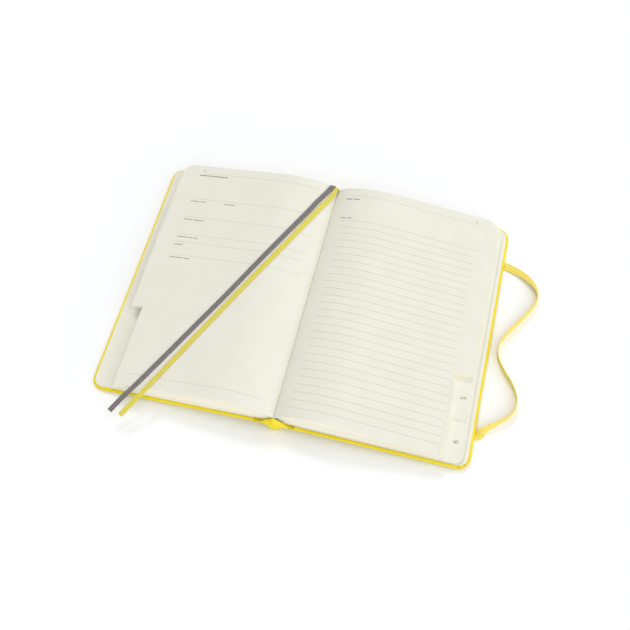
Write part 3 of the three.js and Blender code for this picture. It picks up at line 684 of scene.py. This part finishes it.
for hand, sign in (("back", 1), ("front", -1)):
    inner = (sign * (SPINE_FLAT + 0.05), CLOTH_TOP)
    middle = cover_point(sign, 0, CLOTH_HALF)
    outer = cover_point(sign, CLOTH_START + 0.1, CLOTH_HALF)
    shares = [s / GROOVE_STEPS for s in range(GROOVE_STEPS + 1)]
    line = [tuple(np.array(inner) * (1 - s) + np.array(middle) * s) for s in shares]
    line += [tuple(np.array(middle) * (1 - s) + np.array(outer) * s) for s in shares[1:]]
    if sign < 0:
        line.reverse()
    rows = wrapped_rows(COVER_HEIGHT / 2, -CLOTH_HALF, 0.3, SPINE_TURN_IN, 0.4)
    strip = swept_strip(f"{hand}_joint_strip", line, rows, [book_cloth])
    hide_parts(f"{hand}_joint_cloth")
    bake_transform(strip)

# Sewing
# Open cotton gauze is glued over the backs of the gatherings, which are sewn through their
# folds with white linen thread at five stations.
STATIONS = 5

gauze, tree = start_material("cotton_gauze")
place = object_place(tree)
net = mix(tree, 0.5, stripes(tree, place, 0.25 / MM, "Y"), stripes(tree, place, 0.25 / MM, "X"))
colour = mix(tree, net, linear("#D9D2BF"), linear("#F2EEE2"))
finish_material(tree, colour, net, 0.15, Roughness=0.95)

thread, tree = start_material("linen_thread")
twist = stripes(tree, object_place(tree), 0.4 / MM, "DIAGONAL")
colour = mix(tree, twist, linear("#E3DECF"), linear("#FAF7EE"))
finish_material(tree, colour, twist, 0.08, Roughness=0.8)

dress_solid("spine_mull", gauze)
for station in range(STATIONS):
    dress_solid(f"sewing_thread_{station + 1}", thread)

# Gatherings
# The block is ivory writing paper folded into gatherings. Each half shows its leaves as thin
# layers that fan from the sewn folds, rise in a hump and fall to the slanting fore-edge. The
# fore-edge is stepped for a tab index. Each gathering is one mesh of six layers that bends
# between the spine and its own leaves. In the tables 1 is the right half and -1 the left one.
PAGE_HALF = 103.0
PAGE_CORNER = 7.6
LEAF_WIDTH = 129.8
FLAT_FROM = 45.0
TAB_PITCH = 33.3
SIGNATURE_THICK = 1.5
ROOT_THICK = 0.825
LAYERS = 6
LAYER_GAP = 0.02
EDGE_SCATTER = 0.12  # how unevenly the layers end at the fore-edge
SLIP = 0.1  # and at head and tail
FORE_EDGES = {1: (137.4, 135.3, 134.0, 132.8, 131.6),
              -1: (137.4, 136.2, 134.9, 133.7, 132.4, 131.3)}
CUT_BACKS = {1: (None, 123.4, 121.3, 120.4, 119.5), -1: (126, 125, 124.2, 123.4, 122.7, 122)}
EDGE_SLANT = 0.8  # fall of the lowest gathering's fore-edge and of its tab's
TAB_SLANT = 1.8
OPEN_PITCH = 1.85
TOP_SLOPE = math.radians(7.9)
ROOT_LOW = (7.6, 11.96)
ROOT_TOP = (0.9, 16.8)
ROOT_RISE = math.radians(60)
ROOT_PULL = (12, 9)  # how far the leaves keep their first direction, lowest and top
FLAT_PULL = 16
LEAF_STEPS = 24
ARCH_LOSS = 2.6
STACK_BASE = {1: 4.55, -1: 3.35}
COUNTS = {1: 5, -1: 6}
CREASE = (0.12, 16.75)


@functools.lru_cache(maxsize=None)
def leaf_line(sign, index):
    """A gathering's middle line, in x and z, from its root along its arch to the fore-edge."""
    share = index / (COUNTS[sign] - 1)
    base = cover_tilt(sign)
    tilt = base * (1 - share) + TOP_SLOPE * share
    root = (ROOT_LOW[0] * (1 - share) + ROOT_TOP[0] * share,
            ROOT_LOW[1] * (1 - share) + ROOT_TOP[1] * share)
    end_x = root[0] + LEAF_WIDTH - ARCH_LOSS * share
    rise = STACK_BASE[sign] + SIGNATURE_THICK / 2 + index * OPEN_PITCH
    along = (end_x - SPINE_HALF - rise * math.sin(base)) / math.cos(base)
    end_z = cover_point(sign, along, rise)[1]
    flat_z = end_z + (end_x - FLAT_FROM) * math.tan(tilt)
    angle = ROOT_RISE * share - base * (1 - share)
    pull = ROOT_PULL[0] * (1 - share) + ROOT_PULL[1] * share
    fold = bezier([root, (root[0] + pull * math.cos(angle), root[1] + pull * math.sin(angle)),
                   (FLAT_FROM - FLAT_PULL * math.cos(tilt), flat_z + FLAT_PULL * math.sin(tilt)),
                   (FLAT_FROM, flat_z)], LEAF_STEPS)
    return fold + [(end_x, end_z)]


def surface_at(line, x, above):
    """Height of a gathering's upper or lower face at a distance from the spine's middle."""
    xs = [p[0] for p in line]
    k = int(np.clip(np.searchsorted(xs, x, side="right"), 1, len(line) - 1))
    (x0, z0), (x1, z1) = line[k - 1], line[k]
    slope = (z1 - z0) / (x1 - x0)
    grown = min(max(x / FLAT_FROM, 0.0), 1.0)
    half = (ROOT_THICK * (1 - grown) + SIGNATURE_THICK * grown) / 2
    return z0 + (x - x0) * slope + (half if above else -half) * math.hypot(1, slope)


def upper_face(sign, index, x):
    """Upper face of a gathering. The open pages run down into the crease between the halves."""
    line = leaf_line(sign, index)
    top = index == COUNTS[sign] - 1
    if top and x < ROOT_TOP[0]:
        share = (x - CREASE[0]) / (ROOT_TOP[0] - CREASE[0])
        return CREASE[1] * (1 - share) + surface_at(line, ROOT_TOP[0], True) * share
    return surface_at(line, x, True)


def lower_face(sign, index, x):
    """Lower face of a gathering, which fills down to the one below it past that one's root."""
    line = leaf_line(sign, index)
    own = surface_at(line, x, False) if x >= line[0][0] else CREASE[1] - 0.4
    if index == 0:
        return own
    below = leaf_line(sign, index - 1)
    past = min(max((x - below[0][0]) / 5, 0.0), 1.0)
    if past <= 0:
        return own
    return own * (1 - past) + (surface_at(below, x, True) + 0.04) * past


def cut_height(sign, index):
    """Below this height on the page the leaves are cut back for the tabs of later ones."""
    if sign > 0 and index == 0:
        return None
    tabs = min(index, 2) if sign > 0 else min(max(COUNTS[sign] - index, 2), 5)
    return -PAGE_HALF + tabs * TAB_PITCH


def sheet_columns(inner, outer, cut, cut_back, tail, head):
    """Distances from the spine with the lowest and highest place of the sheet at each."""
    xs = [inner + (FLAT_FROM - inner) * (i / 22) ** 1.25 for i in range(23)]
    bend_end = outer - PAGE_CORNER
    xs += [FLAT_FROM + (bend_end - FLAT_FROM) * i / 8 for i in range(1, 9)]
    xs += [bend_end + PAGE_CORNER * math.sin(math.pi / 2 * i / 10) for i in range(1, 11)]
    if cut is not None:
        xs = [x for x in xs if abs(x - cut_back) > 0.2] + [cut_back - 0.04, cut_back + 0.04]
    columns = []
    for x in sorted(xs):
        over = min(max((x - bend_end) / PAGE_CORNER, 0.0), 1.0)
        drop = PAGE_CORNER * (1 - math.sqrt(max(1 - over * over, 0.0)))
        low = tail + drop
        if cut is not None:
            low = cut if x > cut_back else tail
        columns.append((x, low, head - drop))
    return columns


def add_sheet(points, faces, uvs, slots, sign, columns, top, bottom):
    """Adds one closed sheet to a mesh. Slot 0 is the page's face and slot 1 its cut edge."""
    shares = (0.0, 0.05, 0.25, 0.5, 0.75, 0.95, 1.0)
    n = len(shares)
    start = len(points)
    for face_height in (top, bottom):
        for x, low, high in columns:
            points += [(sign * x, low + (high - low) * s, face_height(x)) for s in shares]
    lower = start + len(columns) * n

    def add(corners, slot):
        if sign < 0:
            corners = corners[::-1]
        faces.append(tuple(corners))
        slots.append(slot)
        if slot == 0:
            uvs.append([(points[c][0], points[c][1]) for c in corners])
        else:
            uvs.append([(points[c][0] + points[c][1], points[c][2]) for c in corners])

    for i in range(len(columns) - 1):
        for j in range(n - 1):
            a = start + i * n + j
            b = lower + i * n + j
            add([a, a + n, a + n + 1, a + 1], 0)
            add([b, b + 1, b + n + 1, b + n], 0)
        for j, flip in ((0, False), (n - 1, True)):
            a = start + i * n + j
            b = lower + i * n + j
            corners = [a, b, b + n, a + n]
            add(corners[::-1] if flip else corners, 1)
    for i, flip in ((0, False), (len(columns) - 1, True)):
        for j in range(n - 1):
            a = start + i * n + j
            b = lower + i * n + j
            corners = [a, a + 1, b + 1, b]
            add(corners[::-1] if flip else corners, 1)


writing_paper, tree = start_material("ivory_writing_paper")
place = mm_place(tree)
fibres = noise(tree, place, 2.2, 4.0)
clouds = noise(tree, place, 0.05, 2.0)
colour = mix(tree, ramp(tree, clouds, 0.3, 0.7), linear("#E8E6D8"), linear("#EBE9DC"))
colour = mix(tree, ramp(tree, fibres, 0.62, 0.85), colour, linear("#E0DDCC"))
finish_material(tree, colour, fibres, 0.012, Roughness=0.85, Specular_IOR_Level=0.25)

cut_edges, tree = start_material("cut_paper_edges")
# Fine stripes across the edge for the leaves; the darker stripes are painted shade in the gaps
# between them.
leaves = noise(tree, scaled(tree, mm_place(tree), (0.012, 7.0, 1.0)), 1.0, 3.0)
colour = mix(tree, ramp(tree, leaves, 0.35, 0.65), linear("#FAF3DC"), linear("#FFFAEA"))
finish_material(tree, colour, leaves, 0.08, Roughness=0.9, Specular_IOR_Level=0.2)

dice = random.Random(7)
for sign, hand in ((-1, "left"), (1, "right")):
    for index in range(COUNTS[sign]):
        points, faces, uvs, slots = [], [], [], []
        line = leaf_line(sign, index)
        top_one = index == COUNTS[sign] - 1
        inner = CREASE[0] if top_one else line[0][0]
        outer = FORE_EDGES[sign][index]
        outer_below = FORE_EDGES[sign][index - 1] if index else outer + EDGE_SLANT
        cut_back = CUT_BACKS[sign][index] or 0.0
        cut_below = CUT_BACKS[sign][index - 1] if index else None
        cut_below = cut_below or cut_back + TAB_SLANT
        for layer in range(LAYERS):
            low_share, high_share = layer / LAYERS, (layer + 1) / LAYERS
            last = layer == LAYERS - 1
            gap = 0.0 if last else LAYER_GAP

            def at(share, x, lift=0.0):
                high, low = upper_face(sign, index, x), lower_face(sign, index, x)
                return low + (high - low) * share - lift

            end = outer + (outer_below - outer) * (1 - high_share)
            end += 0 if last else dice.uniform(-EDGE_SCATTER, EDGE_SCATTER)
            slip = 0 if last else dice.uniform(-SLIP, SLIP)
            cut = cut_back + (cut_below - cut_back) * (1 - high_share)
            columns = sheet_columns(inner, end, cut_height(sign, index), cut,
                                    -PAGE_HALF + slip, PAGE_HALF + slip)
            add_sheet(points, faces, uvs, slots, sign, columns,
                      lambda x: at(high_share, x, gap), lambda x: at(low_share, x))
        block = mesh_object(f"{hand}_gathering_{index + 1}", points, faces,
                            [writing_paper, cut_edges], uvs, slots, 30)
        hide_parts(f"{hand}_signature_{index + 1}", f"{hand}_signature_fold_{index + 1}")
        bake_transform(block)

# Ruling and marks
# The right page is ruled with thin grey lines 6.4 mm apart under a header line. The left page
# has a form of wider rows. All of it is printed: short plain bars of grey ink head the rows,
# and the page and tab numbers are plain figures.
RULE_WIDTH = 0.28
THIN_RULE_WIDTH = 0.25
RULE_RAISE = 0.03
RULE_PITCH = 6.385
RULE_COUNT = 27
RULE_TOP = 71.0
BAR_STEP = 3
BAR_GAP = 0.9
# Each row of the form: height on the page, and distances of its ends from the spine's middle.
FORM_ROWS = (
    (95.5, 12.0, 113.0), (69.0, 11.0, 115.0), (50.5, 10.0, 115.5), (33.5, 9.5, 116.0),
    (26.0, 9.5, 116.0), (13.5, 9.0, 116.0), (-93.5, 12.0, 115.0),
)
# Each group of bars: where it starts, its height on the page, the bars' lengths and height.
RIGHT_BARS = ((9.2, 92.2, (5.2, 5.0), 0.95), (9.2, 73.4, (3.6, 4.0), 0.75))
LEFT_BARS = (
    (116.2, 93.2, (9.6, 14.4), 0.95), (115.5, 66.4, (7.0, 5.2), 0.7), (86.5, 66.4, (9.0,), 0.7),
    (116.0, 48.0, (7.6, 9.0), 0.7), (116.0, 30.8, (8.6, 4.2, 3.2), 0.7),
    (116.0, 23.4, (7.2,), 0.7), (116.0, 11.0, (11.4, 4.8), 0.7),
)
NUMBER_SIZE = 2.4
TAB_NUMBER_SIZE = 6.0
TAB_NUMBER_X = 130.5


def printing_ink(name, grain, dark, pale):
    """A thin, slightly uneven film of grey ink."""
    material, tree = start_material(name)
    uneven = noise(tree, object_place(tree), 1 / (grain * MM), 2.0)
    colour = mix(tree, uneven, linear(dark), linear(pale))
    finish_material(tree, colour, Roughness=0.85, Specular_IOR_Level=0.2)
    return material


def printed_bars(name, sign, bars, ink):
    """Printed bars that follow the open page. Each has two ends, its place and its width."""
    points, faces = [], []
    for x_from, x_to, y, width in bars:
        count = max(2, int(abs(x_to - x_from) / BAR_STEP))
        start = len(points)
        for i in range(count + 1):
            x = x_from + (x_to - x_from) * i / count
            z = upper_face(sign, COUNTS[sign] - 1, x) + RULE_RAISE
            points += [(sign * x, y - width / 2, z), (sign * x, y + width / 2, z)]
        for i in range(count):
            a = start + 2 * i
            quad = (a, a + 2, a + 3, a + 1)
            faces.append(quad if sign > 0 else quad[::-1])
    return mesh_object(name, points, faces, [ink])


def bar_groups(sign, groups):
    """The bars of all groups of a page, one after the other with a gap between."""
    bars = []
    for x, y, lengths, tall in groups:
        for bar_length in lengths:
            bars.append((x, x + sign * bar_length, y, tall))
            x += sign * (bar_length + BAR_GAP)
    return bars


def repeat_along(piece, count, step, material):
    """Repeats a mesh along a line with Geometry Nodes and keeps the result as a plain mesh."""
    tree = bpy.data.node_groups.new("repeated_rules", "GeometryNodeTree")
    tree.interface.new_socket("Geometry", in_out="INPUT", socket_type="NodeSocketGeometry")
    tree.interface.new_socket("Count", in_out="INPUT", socket_type="NodeSocketInt")
    tree.interface.new_socket("Step", in_out="INPUT", socket_type="NodeSocketVector")
    tree.interface.new_socket("Geometry", in_out="OUTPUT", socket_type="NodeSocketGeometry")
    entry = add_node(tree, "NodeGroupInput")
    row = add_node(tree, "GeometryNodeMeshLine",
                   {"Count": entry.outputs["Count"], "Offset": entry.outputs["Step"]})
    copies = add_node(tree, "GeometryNodeInstanceOnPoints",
                      {"Points": row.outputs[0], "Instance": entry.outputs["Geometry"]})
    solid = add_node(tree, "GeometryNodeRealizeInstances", {0: copies.outputs[0]})
    inked = add_node(tree, "GeometryNodeSetMaterial",
                     {"Geometry": solid.outputs[0], "Material": material})
    leave = add_node(tree, "NodeGroupOutput")
    tree.links.new(inked.outputs[0], leave.inputs[0])
    modifier = piece.modifiers.new("repeat", "NODES")
    modifier.node_group = tree
    for item in tree.interface.items_tree:
        if item.in_out == "INPUT" and item.name == "Count":
            modifier[item.identifier] = count
        if item.in_out == "INPUT" and item.name == "Step":
            modifier[item.identifier] = step
    bpy.context.view_layer.update()
    seen = piece.evaluated_get(bpy.context.evaluated_depsgraph_get())
    mesh = bpy.data.meshes.new_from_object(seen)
    piece.modifiers.clear()
    piece.data = mesh


def follow_page(piece):
    """Bakes the print's place into its mesh. The print lies on the open page as it was built."""
    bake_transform(piece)


def figures(name, text, size, sign, index, place, upright):
    """Plain figures laid on a page. Upright ones read from the tail, others from the side."""
    curve = bpy.data.curves.new(name, "FONT")
    curve.body = text
    curve.align_x = curve.align_y = "CENTER"
    curve.size = size
    shown = bpy.data.objects.new(name, curve)
    bpy.context.scene.collection.objects.link(shown)
    bpy.context.view_layer.update()
    graph = bpy.context.evaluated_depsgraph_get()
    flat = bpy.data.meshes.new_from_object(shown.evaluated_get(graph))
    points = []
    for vertex in flat.vertices:
        u, v = (vertex.co.x, vertex.co.y) if upright else (-vertex.co.y, vertex.co.x)
        x = place[0] + sign * u
        points.append((sign * x, place[1] + v, upper_face(sign, index, x) + RULE_RAISE))
    faces = [tuple(face.vertices) for face in flat.polygons]
    bpy.data.objects.remove(shown)
    bpy.data.curves.remove(curve)
    return mesh_object(name, points, faces, [dark_ink])


grey_ink = printing_ink("grey_printed_rule", 2, "#BDBBAE", "#CAC8BB")
dark_ink = printing_ink("dark_printed_mark", 0.6, "#8C8A82", "#AAA89E")

rules = printed_bars("right_page_rules", 1, [(10.5, 119.0, RULE_TOP, RULE_WIDTH)], grey_ink)
repeat_along(rules, RULE_COUNT, (0, -RULE_PITCH * MM, 0), grey_ink)
follow_page(rules)

header = [(14.0, 117.0, 95.5, THIN_RULE_WIDTH)]
follow_page(printed_bars("right_page_header_rule", 1, header, grey_ink))
form = [(x_from, x_to, y, THIN_RULE_WIDTH) for y, x_from, x_to in FORM_ROWS]
follow_page(printed_bars("left_page_rules", -1, form, grey_ink))
follow_page(printed_bars("right_page_marks", 1, bar_groups(1, RIGHT_BARS), dark_ink))
follow_page(printed_bars("left_page_marks", -1, bar_groups(-1, LEFT_BARS), dark_ink))

follow_page(figures("right_page_number", "25", NUMBER_SIZE, 1, 4, (115.5, 97.6), True))
follow_page(figures("left_page_number", "24", NUMBER_SIZE, -1, 5, (113.0, 97.9), True))
for number, index, y in (("5", 1, -53.0), ("6", 0, -87.0)):
    tab = figures(f"tab_number_{number}", number, TAB_NUMBER_SIZE, 1, index, (TAB_NUMBER_X, y),
                  False)
    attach(tab, f"right_leaves_{index + 1}")
